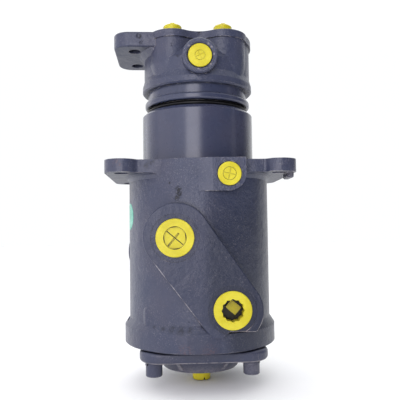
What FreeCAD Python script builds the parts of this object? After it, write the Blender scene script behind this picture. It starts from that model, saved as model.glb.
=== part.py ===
import FreeCAD, Part
import math
import os

from FreeCAD import Vector

# Centre swivel joint of a tracked excavator, in millimetres.
# The origin lies on the turning axis, in the plane of the top of the ear flange.
# +Z points up the turning axis to the head, and -Y to the two large front ports.

# Shaft and bore
shaft_r = 45.0
bore_gap = 0.06

# Casing, a casting with a turned upper barrel
barrel_r = 66.0
barrel_height = 62.3
barrel_chamfer = 4.0
body_r = 82.5
body_depth = 204.5
foot_r = 88.0
foot_height = 20.0
foot_slope = 8.5
cavity_r = 60.0
cavity_depth = 19.0

# Ear flange with four bolt ears
ear_thickness = 14.0
ear_x = 86.5
ear_y = 61.0
ear_lobe_r = 18.5
ear_hole_r = 8.25
ear_web_y = 70.0
ear_blend_r = 4.0
ear_root_reach = 5.5
ear_root_height = 6.0
ear_root_bow = 0.33
gate_half_x = 3.8
gate_half_y = 13.0
gate_corner_r = 3.0
gate_edge_round = 2.0
gate_height = 5.2
gate_inset = 0.4
gate_back = 18.0

# Large side ports with flat spot faces
port_r = 15.2
port_depth = 22.0
port_spot_r = 25.4
port_spot_depth = 0.8
front_port_x = 29.5
front_face_rise = 5.5
lower_port_rise = 44.7
upper_port_share = 0.4701
port_drill_r = 6.0
port_cone_height = 4.0

# Small side ports
pilot_port_r = 9.3
pilot_port_depth = 16.0
pilot_spot_r = 13.6
pilot_drill_r = 3.5
pilot_boss_r = 17.8

# Front pad that joins the two large front ports
pad_upper_r = 35.4
pad_upper_shift_x = 1.9
pad_upper_shift_z = 1.2
pad_lower_r = 33.6
pad_lower_shift_x = -1.0
pad_lower_shift_z = -0.7
pad_edge_round = 1.5
pad_bottom_rise = 2.7
pad_step_x = 26.0
pad_lip_x = 19.0
pad_lip_drop = 3.5

# Other ports of the casing, placed by the angle about the axis
pilot_port_x = 28.6
pilot_face_rise = 3.1
pilot_level_z = -17.5
drain_port_angle = 90.0
drain_face_rise = 4.0
drain_level_share = 0.2354
left_port_angle = 145.0
left_port_rise = 7.5
left_boss_r = 29.0
left_face_rise = 2.3
rear_port_angle = 55.0
rear_boss_r = 30.0
rear_face_rise = 4.0

# Small cast details of the body
stub_rib_angle = 223.3
stub_rib_r = 9.0
stub_rib_rise = 2.2
stub_rib_height = 19.5
notch_angle = 187.0
notch_r = 7.0
notch_inset = 0.3
notch_low = 3.5

# Oil grooves in the shaft, and seal grooves in the bore between them
oil_groove_width = 10.5
oil_groove_depth = 4.5
seal_groove_width = 5.8
seal_groove_depth = 6.4
seal_slack = 0.1
slipper_thickness = 2.4
end_seal_step = 13.0

# Guide rings above and below the seals
guide_width = 12.0
guide_thickness = 2.5
guide_upper_z = 34.0

# Head of the rotor
collar_r = 62.9
collar_height = 7.8
collar_round = 2.6
neck_r = 59.2
neck_height = 10.6
skirt_r = 65.8
skirt_height = 15.0
skirt_straight = 7.5
skirt_chamfer = 1.6
head_r = 63.7
band_side_r = 65.8
head_height = 63.0
spigot_r = 56.0

# Top plate and the lobes of the top ports
lobe_x = 29.5
lobe_y = 28.5
lobe_r = 27.5
lobe_set_back = 1.6
side_blend_r = 6.0
valley_y = 47.3
top_band = 8.5
top_edge_round = 1.0
lobe_foot_r = 21.7
lobe_foot_height = 24.0
lobe_wall_height = 28.0
shoulder_height = 24.0

# Front and rear port bosses of the head
head_boss_z = 114.2
head_boss_r = 19.6
head_boss_face = 72.0
head_boss_edge = 1.3
head_port_r = 13.4
head_port_depth = 26.0
head_port_chamfer = 2.0

# Lug of the head, where the torque arm is bolted
lug_reach = 97.4
lug_half_width = 45.5
lug_thickness = 17.5
lug_corner_r = 17.0
lug_edge_round = 2.4
lug_hole_x = 73.8
lug_hole_pitch = 53.2
lug_hole_r = 7.25
lug_root = 6.0

# Oil galleries drilled down the rotor
top_port_r = 9.3
top_port_depth = 17.0
gallery_r = 5.5
gallery_circle_r = 30.0
gallery_lobe_angle = 44.0
cross_hole_r = 4.5
gallery_sump = 3.0

# Dust seal and thrust washer under the collar
thrust_gap = 0.15
washer_thickness = 3.0
washer_gap = 1.5
dust_seal_r = 60.0
dust_seal_height = 5.6
dust_seal_round = 2.2
dust_seal_gap = 0.35

# Thrust plate that holds the rotor down, and its bolts
thrust_plate_r = 55.0
thrust_plate_thickness = 8.0
thrust_plate_gap = 0.3
plate_bolt_circle_r = 18.0
plate_bolt_count = 4
plate_bolt_r = 4.0
plate_bolt_depth = 16.0
plate_bolt_head_r = 6.5
plate_bolt_head_height = 8.0

# Bottom cover
cover_bolt_x = 53.0
cover_half = 70.6
cover_shift = 1.6
cover_corner_r = 24.0
cover_thickness = 12.8
cover_lift = 1.0
cover_face_r = 69.5
cover_boss_r = 57.0
cover_boss_tip_r = 43.0
cover_boss_depth = 16.5
cover_pocket_r = 36.0
cover_pocket_depth = 20.0
cover_rib_count = 6
cover_rib_thickness = 4.5
cover_rib_rise = 2.8
cover_edge_round = 4.5

# Cover screws and spring washers
screw_r = 6.0
screw_head_r = 9.0
screw_head_height = 12.0
screw_grip = 22.0
screw_socket_flats = 10.0
screw_socket_depth = 6.0
screw_hole_gap = 0.6
screw_tip_gap = 3.0
head_edge = 0.8
spring_washer_r = 9.6
spring_washer_thickness = 3.0
spring_washer_split = 1.6

# Sealing ring of the bottom cover
cover_ring_r = 64.5
cover_ring_section = 3.5
cover_ring_groove_depth = 2.8
cover_ring_slack = 0.15

# Screw-in plugs of the large ports
plug_gap = 0.2
plug_flange_r = 20.0
plug_flange_height = 3.0
plug_shank_length = 14.0
plug_edge = 0.6
plug_dish_r = 12.0
plug_dish_depth = 2.0
plug_dish_flat = 10.9
plug_gap_depth = 3.0
plug_slot_width = 1.0
plug_slot_depth = 2.0
plug_slot_turn = 50.0
plug_trough_width = 2.0
plug_trough_depth = 1.2
plug_trough_end = 6.4

# Open socket of the lower front plug
socket_flats = 21.0
socket_depth = 17.0
socket_floor = 3.5
peg_length = 13.4
peg_width = 10.3
peg_height = 5.0
peg_shift_x = 1.6
peg_shift_y = 1.9

# Screw-in plugs of the small ports
small_plug_flange_r = 12.5
small_plug_flange_height = 2.4
small_plug_shank_length = 11.0
small_plug_face_r = 6.6
small_plug_mark_depth = 0.5
small_plug_turn = -13.0

# Plugs of the head and of the bottom cover
front_plug_recess = 0.8
front_plug_mark_r = 5.2
front_plug_mark_depth = 0.35
front_plug_turn = 25.0
top_plug_rim_r = 10.8
top_plug_rim_height = 12.4
top_plug_rim_edge = 1.4
top_plug_cap_r = 5.6
top_plug_cap_height = 14.2
top_plug_grip_width = 4.6
top_plug_grip_rise = 1.0
bottom_plug_r = 10.5
bottom_plug_rim_r = 12.5
bottom_plug_rim_height = 1.6
bottom_plug_height = 17.0
bottom_plug_slot_depth = 3.2
bottom_plug_slot_width = 1.4
bottom_plug_turn = -15.0
bottom_port_r = 9.3
bottom_port_x = 1.2

# Levels that follow from the sizes above
shaft_bottom_z = -body_depth + cavity_depth - thrust_plate_gap
foot_top_z = -body_depth + foot_height
lower_port_z = -body_depth + lower_port_rise
port_span = pilot_level_z - lower_port_z
drain_level_z = pilot_level_z - drain_level_share * port_span
upper_port_z = pilot_level_z - upper_port_share * port_span
level_pitch = (upper_port_z - lower_port_z) / 3
left_level_z = upper_port_z - level_pitch
left_port_z = left_level_z + left_port_rise
rear_level_z = lower_port_z + level_pitch
oil_levels = [pilot_level_z, drain_level_z, upper_port_z, left_level_z, rear_level_z, lower_port_z]
front_face_y = body_r + front_face_rise
pilot_face_y = body_r + pilot_face_rise
drain_face = body_r + drain_face_rise
left_face = body_r + left_face_rise
rear_face = body_r + rear_face_rise
collar_bottom_z = barrel_height + dust_seal_height + 2 * dust_seal_gap
collar_top_z = collar_bottom_z + collar_height
head_bottom_z = collar_top_z + neck_height
head_top_z = head_bottom_z + head_height
cover_top_z = -body_depth
cover_plate_top_z = cover_top_z - cover_lift
cover_bottom_z = cover_plate_top_z - cover_thickness
cover_boss_bottom_z = cover_bottom_z - cover_boss_depth
lug_bottom_z = head_top_z - lug_thickness

UP = Vector(0, 0, 1)
DOWN = Vector(0, 0, -1)
FRONT = Vector(0, -1, 0)
REAR = Vector(0, 1, 0)
OVERRUN = 1.0


def direction(angle):
    turn = math.radians(angle)
    return Vector(math.cos(turn), math.sin(turn), 0)


def place(shape, origin, axis):
    """Moves a shape built along +Z so that its own origin and +Z come to a point and a direction."""
    moved = shape.copy()
    moved.Placement = FreeCAD.Placement(origin, FreeCAD.Rotation(UP, axis))
    return moved


def disc(radius, bottom, top, x=0.0, y=0.0):
    return Part.makeCylinder(radius, top - bottom, Vector(x, y, bottom), UP)


def ring(inner_r, outer_r, bottom, top):
    outer = disc(outer_r, bottom, top)
    return outer.cut(disc(inner_r, bottom - OVERRUN, top + OVERRUN))


def rod(radius, start, axis, length):
    return Part.makeCylinder(radius, length, start, axis)


def turned(points):
    """Turns an outline of (radius, height) points about the Z axis."""
    corners = [Vector(r, 0, z) for r, z in points]
    face = Part.Face(Part.makePolygon(corners + corners[:1]))
    return face.revolve(Vector(), UP, 360)


def turned_wire(edges):
    return Part.Face(Part.Wire(edges)).revolve(Vector(), UP, 360)


def block(x0, x1, y0, y1, z0, z1):
    return Part.makeBox(x1 - x0, y1 - y0, z1 - z0, Vector(x0, y0, z0))


def prism(points, bottom, top):
    corners = [Vector(x, y, bottom) for x, y in points]
    face = Part.Face(Part.makePolygon(corners + corners[:1]))
    return face.extrude(Vector(0, 0, top - bottom))


def regular(flats, count, turn=0.0):
    """Corners of a regular polygon, given across its flats."""
    corner_r = flats / 2 / math.cos(math.pi / count)
    angles = [math.radians(turn) + 2 * math.pi * i / count for i in range(count)]
    return [(corner_r * math.cos(a), corner_r * math.sin(a)) for a in angles]


def rounded_plate(half_x, half_y, corner_r, bottom, top, x=0.0):
    plate = block(x - half_x, x + half_x, -half_y, half_y, bottom, top)
    upright = [e for e in plate.Edges if abs(e.tangentAt(e.FirstParameter).z) > 0.9]
    return plate.makeFillet(corner_r, upright)


def rim_edges(shape, level):
    """Edges that lie wholly in one level."""
    found = []
    for edge in shape.Edges:
        box = edge.BoundBox
        if abs(box.ZMin - level) < 1e-4 and abs(box.ZMax - level) < 1e-4:
            found.append(edge)
    return found


def joined(shapes):
    whole = shapes[0].fuse(shapes[1:])
    return whole.removeSplitter()


def blended(plate, bottom, top, radius):
    """The same plate with its inner corners rounded in plan."""
    middle = (bottom + top) / 2
    outline = plate.slice(UP, middle)[0]
    face = Part.Face(outline).makeOffset2D(radius).makeOffset2D(-radius)
    face.translate(Vector(0, 0, bottom - middle))
    return face.extrude(Vector(0, 0, top - bottom))


def four_corners(x, y):
    return [(sx * x, sy * y) for sx in (-1, 1) for sy in (-1, 1)]


# Casing

def ear_plate():
    """Four ears round a web, with small hollows where they meet."""
    ears = [disc(ear_lobe_r, -ear_thickness, 0, x, y) for x, y in four_corners(ear_x, ear_y)]
    sides = [block(sx * ear_x - ear_lobe_r, sx * ear_x + ear_lobe_r, -ear_y, ear_y, -ear_thickness, 0)
             for sx in (-1, 1)]
    middle = block(-ear_x, ear_x, -ear_web_y, ear_web_y, -ear_thickness, 0)
    return blended(joined(ears + sides + [middle]), -ear_thickness, 0, ear_blend_r)


def ear_roots():
    """Cast root between the underside of the flange and the body."""
    low = -ear_thickness - ear_root_height
    knee_r = body_r + ear_root_reach * ear_root_bow
    knee_z = -ear_thickness - ear_root_height * ear_root_bow
    root = turned([
        (body_r - OVERRUN, low),
        (body_r, low),
        (knee_r, knee_z),
        (body_r + ear_root_reach, -ear_thickness),
        (body_r - OVERRUN, -ear_thickness),
    ])
    span = block(-foot_r, foot_r, -ear_web_y, ear_web_y, low, -ear_thickness)
    return root.common(span)


def casing_core():
    """Barrel, body and foot as one turned form."""
    bottom = -body_depth
    return turned([
        (0, bottom),
        (foot_r - OVERRUN, bottom),
        (foot_r, bottom + OVERRUN),
        (foot_r, foot_top_z),
        (body_r, foot_top_z + foot_slope),
        (body_r, 0),
        (barrel_r, 0),
        (barrel_r, barrel_height - barrel_chamfer),
        (barrel_r - barrel_chamfer, barrel_height),
        (0, barrel_height),
    ])


def port_pad():
    """Flat-faced band round both front ports, with rounded edges, ending above the foot."""
    upper = Vector(pad_upper_shift_x - front_port_x, -front_face_y, upper_port_z + pad_upper_shift_z)
    lower = Vector(front_port_x + pad_lower_shift_x, -front_face_y, lower_port_z + pad_lower_shift_z)
    depth = front_face_y - shaft_r
    line = lower - upper
    lean = math.atan2(line.z, line.x)
    spread = math.acos((pad_upper_r - pad_lower_r) / line.Length)
    corners = []
    for side in (-1, 1):
        turn = lean + side * spread
        out = Vector(math.cos(turn), 0, math.sin(turn))
        corners.append((upper + out * pad_upper_r, lower + out * pad_lower_r))
    (left_top, left_low), (right_top, right_low) = corners
    band = Part.Face(Part.makePolygon([left_top, left_low, right_low, right_top, left_top]))
    parts = [band.extrude(Vector(0, depth, 0)),
             rod(pad_upper_r, upper, REAR, depth),
             rod(pad_lower_r, lower, REAR, depth)]
    pad = joined(parts)
    rim = [e for e in pad.Edges if abs(e.BoundBox.YMax + front_face_y) < 1e-4]
    return pad.makeFillet(pad_edge_round, rim).cut(below_the_pad())


def below_the_pad():
    """Space under the pad: level on the right, and lower on the left, where the pad meets the foot."""
    high = foot_top_z + pad_bottom_rise
    low = foot_top_z - pad_lip_drop
    start = -front_face_y - OVERRUN
    corners = [Vector(x, start, z) for x, z in
               ((-body_r, low), (pad_lip_x, low), (pad_step_x, high), (body_r, high), (body_r, -body_depth),
                (-body_r, -body_depth))]
    face = Part.Face(Part.makePolygon(corners + corners[:1]))
    return face.extrude(Vector(0, -start, 0))


def side_boss(axis, face, level, radius):
    depth = face - shaft_r - seal_groove_depth
    return rod(radius, axis * face + Vector(0, 0, level), axis * -1, depth)


def port_mouth(mouth, axis, radius, depth, spot_r, drill_r):
    """Spot face, and a threaded bore that ends in a drill cone."""
    inward = axis * -1
    spot = rod(spot_r, mouth + axis * OVERRUN, inward, OVERRUN + port_spot_depth)
    bore = rod(radius, mouth, inward, depth)
    cone = Part.makeCone(radius, drill_r, port_cone_height, mouth + inward * depth, inward)
    return [spot, bore, cone]


def casing_ports():
    """Every port of the casing: mouth, direction, oil level and size."""
    large = (port_r, port_depth, port_spot_r, port_drill_r)
    small = (pilot_port_r, pilot_port_depth, pilot_spot_r, pilot_drill_r)
    left = direction(left_port_angle)
    rear = direction(rear_port_angle)
    drain = direction(drain_port_angle)
    return [
        ("upper", Vector(-front_port_x, -front_face_y, upper_port_z), FRONT, upper_port_z, large),
        ("lower", Vector(front_port_x, -front_face_y, lower_port_z), FRONT, lower_port_z, large),
        ("left", left * left_face + Vector(0, 0, left_port_z), left, left_level_z, large),
        ("rear", rear * rear_face + Vector(0, 0, rear_level_z), rear, rear_level_z, large),
        ("pilot", Vector(pilot_port_x, -pilot_face_y, pilot_level_z), FRONT, pilot_level_z, small),
        ("drain", drain * drain_face + Vector(0, 0, drain_level_z), drain, drain_level_z, small),
    ]


def seat_of(mouth, axis):
    return mouth - axis * port_spot_depth


def port_drillings():
    """Every port, with a drilling from its floor to the oil groove of the shaft at its own level."""
    cuts = []
    for _, mouth, axis, level, (radius, depth, spot_r, drill_r) in casing_ports():
        plan = Vector(mouth.x, mouth.y, 0)
        aside = plan - axis * plan.dot(axis)
        groove_r = shaft_r - oil_groove_depth
        reach = math.sqrt(max(groove_r ** 2 - aside.Length ** 2, 0))
        drill_end = aside + axis * reach + Vector(0, 0, level)
        drill_length = plan.dot(axis) - depth - reach
        cuts += port_mouth(mouth, axis, radius, depth, spot_r, drill_r)
        cuts.append(rod(drill_r, drill_end, axis, drill_length))
    return cuts


def seal_levels():
    """Middle heights of the seals: one above, one below and one between the oil grooves."""
    between = [(a + b) / 2 for a, b in zip(oil_levels, oil_levels[1:])]
    return [oil_levels[0] + end_seal_step] + between + [oil_levels[-1] - end_seal_step]


def guide_levels():
    return [guide_upper_z, seal_levels()[0] + end_seal_step]


def bore_grooves():
    cuts = []
    for level in seal_levels():
        half = seal_groove_width / 2
        cuts.append(ring(shaft_r - OVERRUN, shaft_r + seal_groove_depth, level - half, level + half))
    guide_r = shaft_r + guide_thickness + seal_slack
    for level in guide_levels():
        half = guide_width / 2 + seal_slack
        cuts.append(ring(shaft_r - OVERRUN, guide_r, level - half, level + half))
    return cuts


def cover_screw_places():
    return four_corners(cover_bolt_x, cover_bolt_x)


def screw_tip_z():
    return cover_bottom_z - spring_washer_thickness + cover_thickness + screw_grip


def stub_rib():
    """Low upright swell that runs from the foot up the left front of the body."""
    spot = direction(stub_rib_angle) * (body_r + stub_rib_rise - stub_rib_r)
    top = foot_top_z + stub_rib_height
    return joined([disc(stub_rib_r, foot_top_z, top, spot.x, spot.y),
                   Part.makeSphere(stub_rib_r, Vector(spot.x, spot.y, top))])


def casting_gate():
    """Remnant of the casting gate under the right front ear."""
    low = -ear_thickness - gate_height
    middle_x = ear_x + ear_lobe_r - gate_inset - gate_half_x
    gate = rounded_plate(gate_half_x, gate_half_y, gate_corner_r, low, OVERRUN - ear_thickness, middle_x)
    gate = gate.makeFillet(gate_edge_round, rim_edges(gate, low))
    gate.translate(Vector(0, gate_back - ear_y, 0))
    return gate


def pilot_swell():
    """Casting round the pilot port, which runs up to the flange and out to the left."""
    left = pilot_port_x - pilot_boss_r
    right = pilot_port_x + pilot_boss_r
    away = math.hypot(left, pilot_face_y)
    end = direction(math.degrees(math.atan2(-pilot_face_y, left) - math.acos(body_r / away)))
    end = end * (body_r - OVERRUN)
    plan = [(end.x, end.y), (left, -pilot_face_y), (pilot_port_x, -pilot_face_y),
            (pilot_port_x, -shaft_r), (end.x, -shaft_r)]
    low = pilot_level_z - pilot_boss_r
    round_part = rod(pilot_boss_r, Vector(pilot_port_x, -pilot_face_y, pilot_level_z), REAR,
                     pilot_face_y - shaft_r)
    corner = block(pilot_port_x, right, -pilot_face_y, -shaft_r, pilot_level_z, 0)
    return [round_part, corner, prism(plan, low, 0)]


def make_casing():
    solids = [casing_core(), ear_plate(), ear_roots(), port_pad(), stub_rib(), casting_gate(),
              side_boss(direction(left_port_angle), left_face, left_port_z, left_boss_r),
              side_boss(direction(rear_port_angle), rear_face, rear_level_z, rear_boss_r),
              side_boss(direction(drain_port_angle), drain_face, drain_level_z, pilot_boss_r)]
    body = joined(solids + pilot_swell())
    barrel_space = ring(barrel_r, foot_r + ear_x, 0, barrel_height + OVERRUN)
    bore = disc(shaft_r + bore_gap, -body_depth - OVERRUN, barrel_height + OVERRUN)
    cavity = disc(cavity_r, -body_depth - OVERRUN, -body_depth + cavity_depth)
    cuts = [barrel_space, bore, cavity] + bore_grooves() + port_drillings()
    for x, y in four_corners(ear_x, ear_y):
        cuts.append(disc(ear_hole_r, -ear_thickness - OVERRUN, OVERRUN, x, y))
    for x, y in cover_screw_places():
        cuts.append(disc(screw_r, -body_depth - OVERRUN, screw_tip_z() + screw_tip_gap, x, y))
    spot = direction(notch_angle) * (foot_r - notch_inset)
    cuts.append(disc(notch_r, foot_top_z + notch_low, foot_top_z + foot_slope, spot.x, spot.y))
    return body.cut(cuts)


# Rotor

def valley_radius():
    """Radius of the hollow that meets both lobes and reaches the valley's floor."""
    drop = valley_y - lobe_y
    return (lobe_x ** 2 + drop ** 2 - lobe_r ** 2) / (2 * (lobe_r - drop))


def side_reach(side_r, wall_r):
    """How far to the front the round side of the head runs, up to its crossing with a lobe's wall."""
    away = math.hypot(lobe_x, lobe_y)
    bend = math.acos((side_r ** 2 + away ** 2 - wall_r ** 2) / (2 * side_r * away))
    return side_r * math.sin(math.atan2(lobe_y, lobe_x) - bend)


def head_plan(set_back, side_r, bottom, top):
    """Head in plan: two lobes in front and two behind, hollow between the lobes, and round sides."""
    hollow_r = valley_radius()
    wall_r = lobe_r - set_back
    hollow_y = valley_y + hollow_r
    share = lobe_r / (lobe_r + hollow_r)
    meet_x = lobe_x * (1 - share)
    meet_y = lobe_y + (hollow_y - lobe_y) * share
    side_y = side_reach(side_r, wall_r)
    sides = disc(side_r, bottom, top).common(block(-side_r, side_r, -side_y, side_y, bottom, top))
    waist = block(-meet_x, meet_x, -meet_y, meet_y, bottom, top)
    lobes = [disc(wall_r, bottom, top, x, y) for x, y in four_corners(lobe_x, lobe_y)]
    hollows = [disc(hollow_r + set_back, bottom - OVERRUN, top + OVERRUN, 0, side * hollow_y)
               for side in (-1, 1)]
    return joined([sides, waist] + lobes).cut(hollows)


def lobe_foot(x, y):
    """Cone under a lobe, which runs out into the drum."""
    top = head_top_z - top_band - lobe_wall_height
    wall_r = lobe_r - lobe_set_back
    return Part.makeCone(lobe_foot_r, wall_r, lobe_foot_height, Vector(x, y, top - lobe_foot_height), UP)


def lug():
    """Flat lug on the left of the head with rounded corners and edges."""
    half_x = lug_reach / 2
    plate = rounded_plate(half_x, lug_half_width, lug_corner_r, lug_bottom_z, head_top_z, -half_x)
    edges = rim_edges(plate, lug_bottom_z) + rim_edges(plate, head_top_z)
    plate = plate.makeFillet(lug_edge_round, edges)
    root = turned([(0, lug_bottom_z - lug_root), (head_r, lug_bottom_z - lug_root),
                   (head_r + lug_root, lug_bottom_z), (0, lug_bottom_z)])
    span = lug_half_width - lug_edge_round
    window = block(-lug_reach, -lobe_x, -span, span, lug_bottom_z - lug_root, lug_bottom_z)
    return [plate, root.common(window)]


def head_boss(axis):
    start = axis * head_boss_face + Vector(0, 0, head_boss_z)
    boss = rod(head_boss_r, start, axis * -1, head_boss_face - shaft_r)
    rim = [e for e in boss.Edges if abs(e.CenterOfMass.dot(axis) - head_boss_face) < 1e-4]
    return boss.makeChamfer(head_boss_edge, rim)


def head_drum():
    """Turned outside of the head: neck, flared skirt, drum, and a shoulder that falls back to the valley."""
    band_z = head_top_z - top_band
    return turned([
        (0, collar_top_z - OVERRUN),
        (neck_r, collar_top_z - OVERRUN),
        (neck_r, head_bottom_z),
        (skirt_r - skirt_chamfer, head_bottom_z),
        (skirt_r, head_bottom_z + skirt_chamfer),
        (skirt_r, head_bottom_z + skirt_straight),
        (head_r, head_bottom_z + skirt_height),
        (head_r, band_z - shoulder_height),
        (valley_y - lobe_set_back, band_z),
        (0, band_z),
    ])


def collar():
    """Rounded collar above the dust seal, with the spigot that runs on the thrust washer."""
    low = collar_bottom_z
    high = collar_top_z
    k = collar_round
    side_low = Vector(collar_r, 0, low + k)
    side_high = Vector(collar_r, 0, high - k)
    end_low = Vector(collar_r - k, 0, low)
    end_high = Vector(collar_r - k, 0, high)
    corner = k * (1 - math.sqrt(0.5))
    edges = [
        Part.makeLine(Vector(0, 0, low), end_low),
        Part.Arc(end_low, Vector(collar_r - corner, 0, low + corner), side_low).toShape(),
        Part.makeLine(side_low, side_high),
        Part.Arc(side_high, Vector(collar_r - corner, 0, high - corner), end_high).toShape(),
        Part.makeLine(end_high, Vector(0, 0, high)),
        Part.makeLine(Vector(0, 0, high), Vector(0, 0, low)),
    ]
    spigot = disc(spigot_r, barrel_height + washer_thickness + thrust_gap, low + OVERRUN)
    return [turned_wire(edges), spigot]


def galleries():
    """The oil ways: one drilling down from each head port, and a cross hole at its own oil level."""
    lobe_turn = gallery_lobe_angle
    turns = [270 - lobe_turn, 270 + lobe_turn, 90 + lobe_turn, 90 - lobe_turn, 270, 90]
    ports = [(-lobe_x, -lobe_y), (lobe_x, -lobe_y), (-lobe_x, lobe_y), (lobe_x, lobe_y)]
    levels = [oil_levels[i] for i in (2, 5, 3, 4, 0, 1)]
    top_port_floor = head_top_z - top_port_depth
    cuts = []
    for index, (turn, level) in enumerate(zip(turns, levels)):
        outward = direction(turn)
        spot = outward * gallery_circle_r
        start = top_port_floor + gallery_r if index < len(ports) else head_boss_z
        floor = level - cross_hole_r - gallery_sump
        cuts.append(disc(gallery_r, floor, start, spot.x, spot.y))
        cuts.append(rod(cross_hole_r, spot + Vector(0, 0, level), outward, shaft_r - gallery_circle_r))
    for x, y in ports:
        cuts.append(disc(top_port_r, top_port_floor, head_top_z + OVERRUN, x, y))
    for axis in (FRONT, REAR):
        mouth = axis * head_boss_face + Vector(0, 0, head_boss_z)
        flare = head_port_r + head_port_chamfer
        cuts.append(rod(head_port_r, mouth + axis * OVERRUN, axis * -1, head_port_depth + OVERRUN))
        cuts.append(Part.makeCone(flare, head_port_r, head_port_chamfer, mouth, axis * -1))
        way = head_boss_face - gallery_circle_r
        cuts.append(rod(gallery_r, mouth, axis * -1, way))
    return cuts


def oil_grooves():
    half = oil_groove_width / 2
    return [ring(shaft_r - oil_groove_depth, shaft_r + OVERRUN, level - half, level + half)
            for level in oil_levels]


def plate_bolt_places():
    step = 360 / plate_bolt_count
    return [direction(i * step) * plate_bolt_circle_r for i in range(plate_bolt_count)]


def make_rotor():
    shaft = disc(shaft_r, shaft_bottom_z, collar_bottom_z + OVERRUN)
    band_z = head_top_z - top_band
    walls = head_plan(lobe_set_back, head_r, band_z - lobe_wall_height, band_z)
    band = blended(head_plan(0, band_side_r, band_z, head_top_z), band_z, head_top_z, side_blend_r)
    band = band.makeFillet(top_edge_round, rim_edges(band, head_top_z))
    feet = [lobe_foot(x, y) for x, y in four_corners(lobe_x, lobe_y)]
    bosses = [head_boss(FRONT), head_boss(REAR)]
    solids = [shaft, head_drum(), walls, band] + feet + collar() + lug() + bosses
    cuts = oil_grooves() + galleries()
    for side in (-1, 1):
        cuts.append(disc(lug_hole_r, lug_bottom_z - OVERRUN, head_top_z + OVERRUN,
                         -lug_hole_x, side * lug_hole_pitch / 2))
    for spot in plate_bolt_places():
        cuts.append(disc(plate_bolt_r, shaft_bottom_z - OVERRUN, shaft_bottom_z + plate_bolt_depth,
                         spot.x, spot.y))
    return joined(solids).cut(cuts)


# Seals and rings

def make_slipper_seal(level):
    half = seal_groove_width / 2 - seal_slack
    return ring(shaft_r + bore_gap, shaft_r + slipper_thickness, level - half, level + half)


def make_energiser(level):
    half = seal_groove_width / 2 - seal_slack
    inner = shaft_r + slipper_thickness + seal_slack
    return ring(inner, shaft_r + seal_groove_depth - seal_slack, level - half, level + half)


def make_guide_ring(level):
    half = guide_width / 2
    return ring(shaft_r + bore_gap, shaft_r + guide_thickness, level - half, level + half)


def make_thrust_washer():
    return ring(shaft_r + washer_gap, spigot_r, barrel_height, barrel_height + washer_thickness)


def make_dust_seal():
    """Rubber ring in the gap between barrel and collar, rounded outside."""
    low = barrel_height
    high = low + dust_seal_height
    inner = spigot_r + dust_seal_gap
    k = dust_seal_round
    return turned([(inner, low), (dust_seal_r - k, low), (dust_seal_r, low + k),
                   (dust_seal_r, high - k), (dust_seal_r - k, high), (inner, high)])


def make_cover_ring():
    half = cover_ring_section / 2 - cover_ring_slack
    low = cover_top_z - cover_ring_groove_depth
    return ring(cover_ring_r - half, cover_ring_r + half, low, cover_top_z)


# Thrust plate

def make_thrust_plate():
    top = shaft_bottom_z
    bottom = top - thrust_plate_thickness
    plate = disc(thrust_plate_r, bottom, top)
    holes = [disc(plate_bolt_r + plug_gap, bottom - OVERRUN, top + OVERRUN, spot.x, spot.y)
             for spot in plate_bolt_places()]
    return plate.cut(holes)


def make_plate_bolts():
    seat = shaft_bottom_z - thrust_plate_thickness
    bolts = []
    for spot in plate_bolt_places():
        head = prism(regular(2 * plate_bolt_head_r, 6), seat - plate_bolt_head_height, seat)
        head.translate(spot)
        shank_r = plate_bolt_r - plug_gap
        shank = disc(shank_r, seat - OVERRUN, shaft_bottom_z + plate_bolt_depth - OVERRUN, spot.x, spot.y)
        bolts.append(joined([head, shank]))
    return Part.makeCompound(bolts)


# Bottom cover

def cover_rib(turn):
    """Rib that runs down the slope of the boss."""
    rise = cover_rib_rise
    corners = [Vector(0, 0, cover_bottom_z),
               Vector(cover_boss_r + rise, 0, cover_bottom_z),
               Vector(cover_boss_tip_r + rise, 0, cover_boss_bottom_z + rise),
               Vector(0, 0, cover_boss_bottom_z + rise)]
    face = Part.Face(Part.makePolygon(corners + corners[:1]))
    web = face.extrude(Vector(0, cover_rib_thickness, 0))
    web.translate(Vector(0, -cover_rib_thickness / 2, 0))
    web.rotate(Vector(), UP, turn)
    return web


def make_bottom_cover():
    plate = rounded_plate(cover_half, cover_half, cover_corner_r, cover_bottom_z, cover_plate_top_z,
                          cover_shift)
    edges = rim_edges(plate, cover_bottom_z) + rim_edges(plate, cover_plate_top_z)
    plate = plate.makeFillet(cover_edge_round, edges)
    tip = Vector(0, 0, cover_boss_bottom_z)
    boss = Part.makeCone(cover_boss_tip_r, cover_boss_r, cover_boss_depth, tip, UP)
    step = 360 / cover_rib_count
    ribs = [cover_rib(i * step) for i in range(cover_rib_count)]
    body = joined([plate, boss, disc(cover_face_r, cover_plate_top_z - OVERRUN, cover_top_z)] + ribs)
    half_groove = cover_ring_section / 2
    cuts = [disc(cover_pocket_r, cover_top_z - cover_pocket_depth, cover_top_z + OVERRUN),
            ring(cover_ring_r - half_groove, cover_ring_r + half_groove,
                 cover_top_z - cover_ring_groove_depth, cover_top_z + OVERRUN),
            disc(bottom_port_r, cover_boss_bottom_z - OVERRUN, cover_top_z, bottom_port_x)]
    for x, y in cover_screw_places():
        cuts.append(disc(screw_r + screw_hole_gap, cover_bottom_z - OVERRUN, cover_top_z + OVERRUN, x, y))
    return body.cut(cuts)


def make_cover_screws():
    seat = cover_bottom_z - spring_washer_thickness
    screws = []
    for x, y in cover_screw_places():
        head = disc(screw_head_r, seat - screw_head_height, seat, x, y)
        head = head.makeChamfer(head_edge, rim_edges(head, seat - screw_head_height))
        shank = disc(screw_r - plug_gap, seat - OVERRUN, screw_tip_z(), x, y)
        socket = prism(regular(screw_socket_flats, 6), seat - screw_head_height - OVERRUN,
                       seat - screw_head_height + screw_socket_depth)
        socket.translate(Vector(x, y, 0))
        screws.append(joined([head, shank]).cut(socket))
    return Part.makeCompound(screws)


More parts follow.
